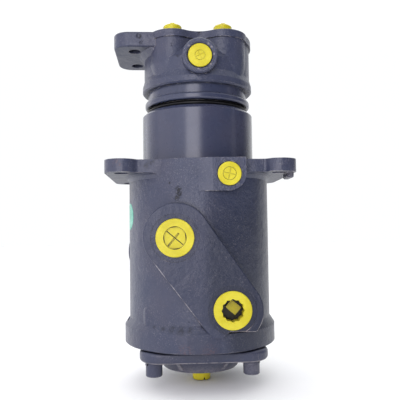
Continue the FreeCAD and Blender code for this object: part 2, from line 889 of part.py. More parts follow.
def make_spring_washers():
    washers = []
    for x, y in cover_screw_places():
        low = cover_bottom_z - spring_washer_thickness
        washer = ring(screw_r + plug_gap, spring_washer_r, low, cover_bottom_z)
        half = spring_washer_split / 2
        reach = spring_washer_r + OVERRUN
        washer = washer.cut(block(0, reach, -half, half, low - OVERRUN, cover_bottom_z + OVERRUN))
        washer.rotate(Vector(), UP, math.degrees(math.atan2(y, x)))
        washer.translate(Vector(x, y, 0))
        washers.append(washer)
    return Part.makeCompound(washers)


# Port plugs, built with the seat at their own origin and the head along +Z

def plug_body(flange_r, flange_height, shank_r, shank_length):
    flange = disc(flange_r, 0, flange_height)
    flange = flange.makeChamfer(plug_edge, rim_edges(flange, flange_height))
    return joined([flange, disc(shank_r, -shank_length, OVERRUN)])


def cross_slots(reach, width, depth, top, turn):
    half = width / 2
    bars = [block(-reach, reach, -half, half, top - depth, top + OVERRUN),
            block(-half, half, -reach, reach, top - depth, top + OVERRUN)]
    slots = bars[0].fuse(bars[1])
    slots.rotate(Vector(), UP, turn)
    return slots


def dish_marks(floor):
    """A slot and a trough across the floor of the dish, and gaps along its wall between their ends."""
    reach = plug_dish_r - OVERRUN
    slot_half = plug_slot_width / 2
    trough_half = plug_trough_width / 2
    slot = block(-slot_half, slot_half, -reach, reach, floor - plug_slot_depth, floor + OVERRUN)
    trough = block(-reach, plug_trough_end, -trough_half, trough_half, floor - plug_trough_depth,
                   floor + OVERRUN)
    flat = plug_dish_flat
    low = floor - plug_gap_depth
    square = block(-flat, flat, -flat, flat, low - OVERRUN, floor + 2 * OVERRUN)
    gaps = disc(plug_dish_r, low, floor + OVERRUN).cut(square)
    gaps.rotate(Vector(), UP, 45)
    return slot.fuse([trough, gaps])


def make_large_plug():
    body = plug_body(plug_flange_r, plug_flange_height, port_r - plug_gap, plug_shank_length)
    dish_floor = plug_flange_height - plug_dish_depth
    dish = disc(plug_dish_r, dish_floor, plug_flange_height + OVERRUN)
    marks = dish_marks(dish_floor)
    marks.rotate(Vector(), UP, plug_slot_turn)
    return body.cut([dish, marks])


def make_socket_plug():
    """Plug with a deep twelve-point socket and a four-sided peg on its floor."""
    floor = plug_flange_height - socket_depth
    body = plug_body(plug_flange_r, plug_flange_height, port_r - plug_gap, socket_floor - floor)
    socket = [prism(regular(socket_flats, 6, turn), floor, plug_flange_height + OVERRUN) for turn in (0, 30)]
    half_x = peg_width / 2
    half_y = peg_length / 2
    peg = block(-half_x, half_x, -half_y, half_y, floor - OVERRUN, floor + peg_height)
    peg.rotate(Vector(), UP, plug_slot_turn)
    peg.translate(Vector(peg_shift_x, peg_shift_y, 0))
    return body.cut(socket).fuse(peg).removeSplitter()


def face_marks(radius, depth, face, turn):
    """Moulded cross with a round groove about it."""
    cross = cross_slots(radius, plug_slot_width, depth, face, turn)
    groove = ring(radius, radius + plug_edge, face - depth, face + OVERRUN)
    return [cross, groove]


def make_small_plug():
    body = plug_body(small_plug_flange_r, small_plug_flange_height, pilot_port_r - plug_gap,
                     small_plug_shank_length)
    return body.cut(face_marks(small_plug_face_r, small_plug_mark_depth, small_plug_flange_height,
                               small_plug_turn))


def make_flush_plug():
    """Plug that sits wholly inside the bore of a head boss."""
    face = -front_plug_recess
    body = disc(head_port_r - plug_gap, face - plug_shank_length, face)
    body = body.makeChamfer(plug_edge, rim_edges(body, face))
    return body.cut(face_marks(front_plug_mark_r, front_plug_mark_depth, face, front_plug_turn))


def make_top_plug():
    """Tall plug: a rim, and above it a round cap with four grips."""
    shank = disc(top_port_r - plug_gap, -small_plug_shank_length, OVERRUN)
    rim = disc(top_plug_rim_r, 0, top_plug_rim_height)
    rim = rim.makeChamfer(top_plug_rim_edge, rim_edges(rim, top_plug_rim_height))
    cap = disc(top_plug_cap_r, top_plug_rim_height, top_plug_cap_height)
    cap = cap.makeChamfer(plug_edge, rim_edges(cap, top_plug_cap_height))
    half = top_plug_grip_width / 2
    reach = top_plug_rim_r - top_plug_rim_edge - plug_edge
    low = top_plug_rim_height - OVERRUN
    high = top_plug_rim_height + top_plug_grip_rise
    grips = [block(-reach, reach, -half, half, low, high), block(-half, half, -reach, reach, low, high)]
    return joined([shank, rim, cap] + grips)


def make_bottom_plug():
    """Slotted plug under the bottom cover."""
    shank = disc(bottom_port_r - plug_gap, -small_plug_shank_length, OVERRUN)
    rim = disc(bottom_plug_rim_r, 0, bottom_plug_rim_height)
    head = disc(bottom_plug_r, 0, bottom_plug_height)
    head = head.makeChamfer(plug_edge, rim_edges(head, bottom_plug_height))
    reach = bottom_plug_r + OVERRUN
    slots = cross_slots(reach, bottom_plug_slot_width, bottom_plug_slot_depth, bottom_plug_height,
                        bottom_plug_turn)
    return joined([shank, rim, head]).cut(slots)


def casing_plugs():
    makers = {"upper": make_large_plug, "lower": make_socket_plug, "left": make_large_plug,
              "rear": make_large_plug, "pilot": make_small_plug, "drain": make_small_plug}
    plugs = {}
    for name, mouth, axis, _, _ in casing_ports():
        plugs[name + "_port_plug"] = place(makers[name](), seat_of(mouth, axis), axis)
    return plugs


def head_plugs():
    plugs = {}
    sides = {(-1, -1): "front_left", (1, -1): "front_right", (-1, 1): "rear_left", (1, 1): "rear_right"}
    for (sx, sy), name in sides.items():
        spot = Vector(sx * lobe_x, sy * lobe_y, head_top_z)
        plugs["head_plug_" + name] = place(make_top_plug(), spot, UP)
    for name, axis in (("front", FRONT), ("rear", REAR)):
        mouth = axis * head_boss_face + Vector(0, 0, head_boss_z)
        plugs["head_boss_plug_" + name] = place(make_flush_plug(), mouth, axis)
    return plugs


def all_nodes():
    nodes = {
        "casing": make_casing(),
        "rotor": make_rotor(),
        "thrust_washer": make_thrust_washer(),
        "dust_seal": make_dust_seal(),
        "thrust_plate": make_thrust_plate(),
        "thrust_plate_bolts": make_plate_bolts(),
        "bottom_cover": make_bottom_cover(),
        "bottom_cover_ring": make_cover_ring(),
        "cover_screws": make_cover_screws(),
        "cover_spring_washers": make_spring_washers(),
        "bottom_plug": place(make_bottom_plug(), Vector(bottom_port_x, 0, cover_boss_bottom_z), DOWN),
    }
    for number, level in enumerate(seal_levels(), 1):
        nodes["slipper_seal_%d" % number] = make_slipper_seal(level)
        nodes["seal_energiser_%d" % number] = make_energiser(level)
    for name, level in zip(("upper", "lower"), guide_levels()):
        nodes["guide_ring_" + name] = make_guide_ring(level)
    nodes.update(casing_plugs())
    nodes.update(head_plugs())
    return nodes


def main():
    os.makedirs("parts", exist_ok=True)
    for name, shape in all_nodes().items():
        shape.exportStep("parts/%s.step" % name)
        print(name, len(shape.Solids), "solids, valid:", shape.isValid(), "volume:", round(shape.Volume))


main()
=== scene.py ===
import math

import bmesh
import bpy
from mathutils import Matrix, Vector


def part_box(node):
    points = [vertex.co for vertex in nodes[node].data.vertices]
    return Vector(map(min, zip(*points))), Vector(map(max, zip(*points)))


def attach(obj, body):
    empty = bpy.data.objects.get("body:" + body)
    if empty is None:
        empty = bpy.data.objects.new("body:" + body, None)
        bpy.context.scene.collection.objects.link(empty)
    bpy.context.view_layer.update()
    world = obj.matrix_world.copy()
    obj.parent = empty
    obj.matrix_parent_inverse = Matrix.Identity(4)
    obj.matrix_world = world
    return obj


# The looks of the swivel joint: paint, plugs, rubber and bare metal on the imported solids,
# a round sticker, and the studio round it. Lengths are in metres.

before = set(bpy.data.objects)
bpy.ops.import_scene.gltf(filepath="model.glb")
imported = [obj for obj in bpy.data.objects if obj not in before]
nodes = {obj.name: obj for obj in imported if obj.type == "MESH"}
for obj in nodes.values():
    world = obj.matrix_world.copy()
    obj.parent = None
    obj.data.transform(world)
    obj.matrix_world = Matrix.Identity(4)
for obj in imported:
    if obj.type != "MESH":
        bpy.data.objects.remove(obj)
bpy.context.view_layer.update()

# The photograph is 400 pixels wide, and its camera stood close by, below the level of the ear flange.
IMAGE_SIZE = 400
FOCAL_PIXELS = 520
AXIS_PIXEL_X = 198.3
CAMERA_PLACE = Vector((-0.0340, -0.6271, -0.0765))
CAMERA_TURN = math.radians(3.1)
CAMERA_TILT = math.radians(3.3)
CAMERA_ROLL = 0.0125
NEAREST_SIGHT = 0.01

# Places on the solids
BODY_R = 0.0825
FOOT_SHOULDER_R = 0.0850
FOOT_R = 0.0880
PAD_Y = -0.0880
EAR_Y = -0.0795
EAR_WEB_Y = -0.0700
HEAD_R = 0.0640
HEAD_WEB_Y = -0.0473
HEAD_BOSS_Y = -0.0720
HEAD_BOSS_Z = 0.1142
LUG_Y = -0.0455

# Levels just beside a face, which tell the smooth parts of a casting from the rough ones
ABOVE_FLANGE_Z = 0.0003
BEHIND_PAD_FACE_Y = -0.0862
BELOW_HEAD_Z = 0.0868
BELOW_HEAD_TOP_Z = 0.1496

# The floor lies just under the bottom plug.
FLOOR_GAP = 0.0004
FLOOR_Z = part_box("bottom_plug")[0].z - FLOOR_GAP
FLOOR_HALF = 6.0

# Softboxes: the angle to the right of the camera and the spread, in degrees as the object sees them,
# and the brightness
SOFTBOXES = {
    "key": (-9.5, 26, 3.5),
    "key_shoulder": (-15, 47, 1.4),
    "left": (-62, 47, 1.4),
    "left_side": (-98, 24, 0.95),
    "left_back": (-123, 26, 0.8),
    "strip_right": (77, 8, 0.55),
}
SOFTBOX_DISTANCE = 1.5
SOFTBOX_HEIGHT = 0.15
SOFTBOX_TALL = 1.5
SOFTBOX_AIM = Vector((0, 0, -0.05))
SOFTBOX_COLOUR = (1.0, 0.975, 1.03)

# The room's brightness grows to the back and to the top: where each ramp starts and ends in the direction
# of sight, and its brightness there
BACKDROP = (0.25, 0.75, 0.05, 1.02)
CEILING = (0.3, 0.8, 0.0, 1.3)
ROOM_COLOUR = (0.98, 0.99, 1.0, 1.0)

# The round sticker on the left side of the body. Its film is half sunk into the paint, and its mesh has
# inner rings at these shares of its radius.
STICKER_R = 0.0155
STICKER_Z = -0.0600
STICKER_ANGLE = math.radians(192.0)
STICKER_LIFT = 0.00012
STICKER_THICKNESS = 2 * STICKER_LIFT
STICKER_SIDES = 64
STICKER_RINGS = (0.8, 0.55, 0.3)


def on_flat(y, *spots):
    """Spots (x, z, radius) on a flat face that looks to the front."""
    return [(x, y, z, radius) for x, z, radius in spots]


def on_round(face_r, *spots):
    """Spots (x, z, radius) on the front half of a round face."""
    return [(x, -math.sqrt(face_r ** 2 - x ** 2), z, radius) for x, z, radius in spots]


def on_circle(y, middle_z, circle_r, spot_r, angles):
    """Equal spots on a circle of a flat face, by their angles from its top in degrees."""
    turns = [math.radians(angle) for angle in angles]
    return on_flat(y, *[(circle_r * math.sin(turn), middle_z + circle_r * math.cos(turn), spot_r)
                        for turn in turns])


# Marks: spots of x, y, z and radius; besides marks of use, some kinds carry painted light and painted shade
CASING_MARKS = {
    # Dark spots of soot; those on the foot's shoulder are also the painted shadow of a recess that the solid
    # lacks
    "sooty_and_shaded": (on_flat(EAR_WEB_Y, (-0.0563, -0.0040, 0.005), (-0.0596, -0.0075, 0.004),
                      (-0.0520, -0.0019, 0.004))
              + on_round(FOOT_SHOULDER_R, (-0.0524, -0.1786, 0.003), (-0.0428, -0.1803, 0.004),
                         (-0.0334, -0.1797, 0.006), (-0.0241, -0.1812, 0.007), (-0.0148, -0.1800, 0.005))
              + on_round(BODY_R, (-0.0250, -0.0350, 0.006))),
    "torn": on_round(BODY_R, (-0.0256, -0.0329, 0.0045), (-0.0246, -0.0383, 0.0040),
                     (-0.0268, -0.0424, 0.0040), (-0.0345, -0.0262, 0.0015)),
    "worn": on_flat(PAD_Y, (-0.0441, -0.1171, 0.014), (-0.0299, -0.1398, 0.014), (-0.0178, -0.1593, 0.014),
                    (-0.0098, -0.1737, 0.010), (0.0300, -0.1811, 0.008), (0.0420, -0.1808, 0.010),
                    (0.0552, -0.1812, 0.010), (0.0595, -0.1732, 0.008)),
    "intact": on_flat(PAD_Y, (-0.0295, -0.0845, 0.058), (0.0295, -0.1600, 0.058)),
    "rusty": (on_flat(EAR_Y, (-0.0916, -0.0029, 0.005), (-0.0874, -0.0072, 0.004))
              + on_round(FOOT_R, (-0.0203, -0.2030, 0.012), (0.0050, -0.2030, 0.012))),
    # A pale spot at the gate remnant under the right ear: painted light, where the floor lights the ear's
    # underside
    "dusty_and_lit": [(0.1000, -0.0560, -0.0170, 0.024)],
    "grainy": [(-0.0250, -0.0820, -0.0150, 0.045)],
}
HEAD_MARKS = {
    "torn": (on_round(HEAD_R, (-0.0303, 0.1314, 0.0035), (-0.0271, 0.1240, 0.0035), (-0.0249, 0.1169, 0.0030))
             + on_flat(LUG_Y, (-0.0676, 0.1443, 0.0040), (-0.0654, 0.1374, 0.0030))
             + on_flat(HEAD_WEB_Y, (0.0017, 0.1477, 0.0030), (0.0142, 0.1431, 0.0025))),
    "dusty_and_lit": on_circle(HEAD_BOSS_Y, HEAD_BOSS_Z, circle_r=0.0152, spot_r=0.0019,
                       angles=(-51, 36, 55, 87, 132, 188)),
}
# On the cover: pale spots on the boss and along the ribs, painted light from below
COVER_MARKS = {
    "dusty_and_lit": ([(0.0, -0.0300, -0.2500, 0.0420)]
              + [(side * x, y, z, 0.0050) for side in (-1, 1)
                 for x, y, z in ((0.0285, -0.0494, -0.2215), (0.0260, -0.0450, -0.2260),
                                 (0.0238, -0.0411, -0.2305))]),
}
# A pale spot on the right screw: painted light
SCREW_MARKS = {"dusty_and_lit": [(0.0530, -0.0530, -0.2260, 0.0135)]}

# A spot is full within this share of its radius.
SPOT_CORE = 0.3

# The broken pale line along the lower edge of the cover's plate: dust, and a painted highlight where the edge
# catches light from below
DUST_AND_HIGHLIGHT_LINE_Z = -0.2174
DUST_AND_HIGHLIGHT_LINE_HALF = 0.0012
DUST_AND_HIGHLIGHT_LINE_STRENGTH = 1.5


def srgb(red, green, blue):
    """A colour given as it shows on a screen, from 0 to 255."""
    def linear(value):
        share = value / 255
        return share / 12.92 if share <= 0.04045 else ((share + 0.055) / 1.055) ** 2.4
    return (linear(red), linear(green), linear(blue), 1.0)


PAINT = srgb(49, 54, 75)
PAINT_WARM = srgb(61, 61, 77)
PAINT_COOL = srgb(42, 49, 72)
# The colour of painted shade on undersides, on the lower right of the casing and on the pad's face
PAINTED_SHADE = srgb(29, 34, 53)
# Pale dust; the same colour also serves as painted light on some spots
PALE_DUST_AND_LIGHT = srgb(146, 141, 146)
BARE_EDGE = srgb(196, 190, 190)
RUST = srgb(122, 84, 68)
# Near-black grime, also the colour of painted shade in corners and gaps
GRIME_AND_SHADE = srgb(20, 21, 27)
PLUG_YELLOW = srgb(182, 170, 26)
PLUG_PALE = srgb(194, 183, 44)
# A lighter yellow for the bottom plug: painted light against the object's shadow on it
PLUG_PAINTED_LIGHT = srgb(226, 212, 48)
PLUG_DUST = srgb(176, 158, 40)
# Painted shade in the plugs' hollows and narrow gaps
PLUG_HOLLOW_SHADE = srgb(136, 120, 20)
PLUG_GAP_SHADE = srgb(14, 12, 6)
RUBBER = srgb(7, 7, 9)
RUBBER_DUST = srgb(28, 28, 32)
RUBBER_LINE = srgb(70, 70, 76)
STEEL = srgb(176, 176, 178)
STEEL_DULL = srgb(120, 118, 116)
BRONZE = srgb(196, 152, 92)
BRONZE_DULL = srgb(150, 108, 62)
RING_PALE = srgb(86, 104, 92)
RING_DARK = srgb(66, 82, 72)
TEAL = srgb(84, 158, 138)
TEAL_FADED = srgb(128, 186, 168)
PAPER = srgb(245, 245, 246)
PAPER_PALE = srgb(250, 250, 250)

# How strongly each layer of the paint shows, from 0 to 1
WARM_SHARE = 0.6
COOL_SHARE = 0.5
SPECK_SHARE = 0.22
GRAINY_SPECK_SHARE = 0.24
RUST_SHARE = 0.2
PIT_SHARE = 0.85
# Soot, and painted shadow on the foot's shoulder
SOOT_AND_SHADE_SHARE = 0.6
# Corners and narrow gaps get grime and painted shade
CORNER_SHARE = 0.8
GAP_SHARE = 0.9
WORN_SHARE = 0.8
CHIPPED_EDGE_SHARE = 0.5
WORN_ROUNDING_SHARE = 0.45
# Painted shade on undersides
UNDERSIDE_PAINTED_SHADE = 0.5
# Painted shade on the lower right of the casing and on the pad's face
LOWER_RIGHT_PAINTED_SHADE = 0.85
PAD_PAINTED_SHADE = 0.25
PAD_MATT = 0.55
PAD_SMOOTH = 0.3

# Where the painted shade of the lower right sets in and is full
SHADE_STARTS_X = (-0.004, 0.014)
SHADE_STARTS_Z = (-0.01, -0.08)
FOOT_STARTS_Z = (-0.17, -0.19)
SHADE_SHIFT_ON_FOOT = 0.02

# Directions of a face: down, and to the front on the rounding round the pad
UNDERSIDE_FACES_Z = (-0.6, -0.9)
ROUNDING_FACES_Y = (-0.97, -0.88)

# How far corners and gaps reach, and the width and bend of a sharp edge
CORNER_REACH = 0.006
GAP_REACH = 0.022
PLUG_HOLLOW_REACH = 0.014
PLUG_GAP_REACH = 0.006
EDGE_WIDTH = 0.0010
EDGE_BEND = (0.01, 0.12)

# Heights of the relief: the paint's ripple, the grainy spots, the pits, and how much of the cast skin
# is fine and coarse
RIPPLE_HEIGHT = 0.00006
GRAIN_HEIGHT = 0.0007
PIT_HEIGHT = 0.0006
FINE_SKIN = 0.5
COARSE_SKIN = 1.8

# The paint's roughness, what is added to it on cast, dirty and lower faces, and its clear coat
PAINT_ROUGHNESS = (0.25, 0.33)
CAST_ROUGHER = 0.13
DIRT_ROUGHER = 0.2
UNDERSIDE_ROUGHER = 0.25
COAT_ON_CAST = 0.30
COAT_ON_TURNED = 0.46

# How strongly dust, and the painted shade of hollows and narrow gaps, show on the plugs
PLUG_DUST_SHARE = 0.25
PLUG_HOLLOW_SHADE_SHARE = 0.7
PLUG_GAP_SHADE_SHARE = 0.97

# The painted shadow in the lower plug's socket starts just in front of the top of its peg.
SOCKET_SHADOW_Y = -0.0785
SOCKET_SHADOW_DEPTH = 0.002

# Rays for finding edges and corners
CORNER_SAMPLES = 8


def place_camera():
    flat = Vector((math.sin(CAMERA_TURN), math.cos(CAMERA_TURN), 0))
    forward = flat * math.cos(CAMERA_TILT) + Vector((0, 0, math.sin(CAMERA_TILT)))
    level_right = Vector((math.cos(CAMERA_TURN), -math.sin(CAMERA_TURN), 0))
    level_up = level_right.cross(forward)
    right = level_right * math.cos(CAMERA_ROLL) - level_up * math.sin(CAMERA_ROLL)
    up = right.cross(forward)
    lens = bpy.data.cameras.new("camera")
    lens.sensor_fit = "HORIZONTAL"
    lens.angle = 2 * math.atan(IMAGE_SIZE / 2 / FOCAL_PIXELS)
    lens.shift_x = (IMAGE_SIZE / 2 - AXIS_PIXEL_X) / IMAGE_SIZE
    lens.clip_start = NEAREST_SIGHT
    camera = bpy.data.objects.new("camera", lens)
    turn = Matrix((right, up, -forward)).transposed()
    camera.matrix_world = Matrix.Translation(CAMERA_PLACE) @ turn.to_4x4()
    bpy.context.scene.collection.objects.link(camera)
    bpy.context.scene.camera = camera


def round_the_object(angle, distance, height):
    """A point about the turning axis, at an angle in degrees to the right of the camera."""
    turn = math.atan2(CAMERA_PLACE.y, CAMERA_PLACE.x) + math.radians(angle)
    return Vector((distance * math.cos(turn), distance * math.sin(turn), height))


def softbox(name, angle, spread, brightness):
    """A tall light that fills a spread of degrees round an angle, as seen from the object."""
    width = 2 * SOFTBOX_DISTANCE * math.tan(math.radians(spread / 2))
    light = bpy.data.lights.new(name, "AREA")
    light.color = SOFTBOX_COLOUR
    light.shape = "RECTANGLE"
    light.size = width
    light.size_y = SOFTBOX_TALL
    light.energy = brightness * math.pi * width * SOFTBOX_TALL
    box = bpy.data.objects.new(name, light)
    box.location = round_the_object(angle, SOFTBOX_DISTANCE, SOFTBOX_HEIGHT)
    aim = SOFTBOX_AIM - box.location
    box.rotation_euler = aim.to_track_quat("-Z", "Y").to_euler()
    bpy.context.scene.collection.objects.link(box)


def light_the_studio():
    for name, (angle, spread, brightness) in SOFTBOXES.items():
        softbox(name, angle, spread, brightness)


def light_the_world():
    """A white backdrop behind the object, a white ceiling, and a dim room on the camera's side."""
    world = bpy.data.worlds.new("studio")
    world.use_nodes = True
    tree = world.node_tree
    tree.nodes.clear()
    out = tree.nodes.new("ShaderNodeOutputWorld")
    place = tree.nodes.new("ShaderNodeTexCoord")
    parts = tree.nodes.new("ShaderNodeSeparateXYZ")
    tree.links.new(place.outputs["Generated"], parts.inputs[0])

    def ramp(axis, values):
        node = tree.nodes.new("ShaderNodeMapRange")
        node.interpolation_type = "SMOOTHSTEP"
        for name, value in zip(("From Min", "From Max", "To Min", "To Max"), values):
            node.inputs[name].default_value = value
        tree.links.new(parts.outputs[axis], node.inputs["Value"])
        return node.outputs["Result"]

    total = tree.nodes.new("ShaderNodeMath")
    total.operation = "ADD"
    tree.links.new(ramp("Y", BACKDROP), total.inputs[0])
    tree.links.new(ramp("Z", CEILING), total.inputs[1])
    room = tree.nodes.new("ShaderNodeBackground")
    room.inputs["Color"].default_value = ROOM_COLOUR
    tree.links.new(total.outputs[0], room.inputs["Strength"])
    tree.links.new(room.outputs["Background"], out.inputs["Surface"])
    bpy.context.scene.world = world


class Shader:
    """A small helper that adds and links the nodes of one material."""

    def __init__(self, name):
        self.material = bpy.data.materials.new(name)
        self.material.use_nodes = True
        self.tree = self.material.node_tree
        self.tree.nodes.clear()
        self.out = self.add("ShaderNodeOutputMaterial")
        self.place = self.add("ShaderNodeTexCoord").outputs["Object"]

    def add(self, kind, **settings):
        node = self.tree.nodes.new(kind)
        for key, value in settings.items():
            setattr(node, key, value)
        return node

    def feed(self, socket, value):
        if isinstance(value, bpy.types.NodeSocket):
            self.tree.links.new(value, socket)
        else:
            socket.default_value = value

    def noise(self, scale, detail, rough, stretch=None):
        """Noise with so many waves a metre, finer with detail and sharper with rough."""
        node = self.add("ShaderNodeTexNoise")
        node.inputs["Scale"].default_value = scale
        node.inputs["Detail"].default_value = detail
        node.inputs["Roughness"].default_value = rough
        self.feed(node.inputs["Vector"], self.stretched(stretch) if stretch else self.place)
        return node.outputs["Fac"]

    def stretched(self, factors):
        node = self.add("ShaderNodeVectorMath", operation="MULTIPLY")
        self.feed(node.inputs[0], self.place)
        node.inputs[1].default_value = factors
        return node.outputs[0]

    def cells(self, scale):
        """The distance to the nearest of so many points a metre."""
        node = self.add("ShaderNodeTexVoronoi")
        node.inputs["Scale"].default_value = scale
        self.feed(node.inputs["Vector"], self.place)
        return node.outputs["Distance"]

    def math(self, operation, a, b=0.0, clamp=False):
        node = self.add("ShaderNodeMath", operation=operation, use_clamp=clamp)
        self.feed(node.inputs[0], a)
        self.feed(node.inputs[1], b)
        return node.outputs[0]

    def times(self, *values):
        whole = values[0]
        for value in values[1:]:
            whole = self.math("MULTIPLY", whole, value)
        return whole

    def plus(self, *values):
        whole = values[0]
        for value in values[1:]:
            whole = self.math("ADD", whole, value)
        return whole

    def most(self, a, b):
        return self.math("MAXIMUM", a, b)

    def rest(self, share):
        """What a share leaves of one."""
        return self.math("SUBTRACT", 1.0, share)

    def span(self, value, low, high, to_low=0.0, to_high=1.0):
        """Maps low..high to to_low..to_high with soft ends, and holds it outside."""
        node = self.add("ShaderNodeMapRange", interpolation_type="SMOOTHSTEP")
        for name, amount in zip(("Value", "From Min", "From Max", "To Min", "To Max"),
                                (value, low, high, to_low, to_high)):
            self.feed(node.inputs[name], amount)
        return node.outputs["Result"]

    def axis(self, name):
        node = self.add("ShaderNodeSeparateXYZ")
        self.feed(node.inputs[0], self.place)
        return node.outputs[name]

    def mix(self, share, first, second):
        node = self.add("ShaderNodeMix", data_type="RGBA")
        self.feed(node.inputs["Factor"], share)
        self.feed(node.inputs["A"], first)
        self.feed(node.inputs["B"], second)
        return node.outputs["Result"]

    def bump(self, height, distance, strength=1.0, normal=None):
        node = self.add("ShaderNodeBump")
        self.feed(node.inputs["Strength"], strength)
        node.inputs["Distance"].default_value = distance
        self.feed(node.inputs["Height"], height)
        if normal is not None:
            self.feed(node.inputs["Normal"], normal)
        return node.outputs["Normal"]

    def facing(self, axis, low, high):
        """Zero to one as the surface's direction along an axis goes from low to high."""
        node = self.add("ShaderNodeSeparateXYZ")
        self.feed(node.inputs[0], self.add("ShaderNodeNewGeometry").outputs["Normal"])
        return self.span(node.outputs[axis], low, high)

    def edge_share(self, radius, low, high):
        """One on sharp outer and inner edges, nothing on open faces."""
        bevel = self.add("ShaderNodeBevel", samples=CORNER_SAMPLES)
        bevel.inputs["Radius"].default_value = radius
        plain = self.add("ShaderNodeNewGeometry").outputs["Normal"]
        agree = self.add("ShaderNodeVectorMath", operation="DOT_PRODUCT")
        self.feed(agree.inputs[0], bevel.outputs["Normal"])
        self.feed(agree.inputs[1], plain)
        return self.span(agree.outputs["Value"], 1.0 - low, 1.0 - high)

    def hollow_share(self, distance, open_at=0.75, shut_at=0.25):
        """One deep in a corner, nothing on open faces."""
        node = self.add("ShaderNodeAmbientOcclusion", samples=CORNER_SAMPLES)
        node.inputs["Distance"].default_value = distance
        return self.span(node.outputs["AO"], open_at, shut_at)

    def near(self, spots):
        """One at each (x, y, z, radius) spot, and nothing beyond its radius."""
        whole = 0.0
        for x, y, z, radius in spots:
            away = self.add("ShaderNodeVectorMath", operation="DISTANCE")
            self.feed(away.inputs[0], self.place)
            away.inputs[1].default_value = (x, y, z)
            spot = self.span(away.outputs["Value"], radius, radius * SPOT_CORE)
            whole = self.most(spot, whole)
        return whole

    def surface(self, **sockets):
        node = self.add("ShaderNodeBsdfPrincipled")
        for name, value in sockets.items():
            self.feed(node.inputs[name.replace("_", " ")], value)
        self.feed(self.out.inputs["Surface"], node.outputs["BSDF"])
        return self.material


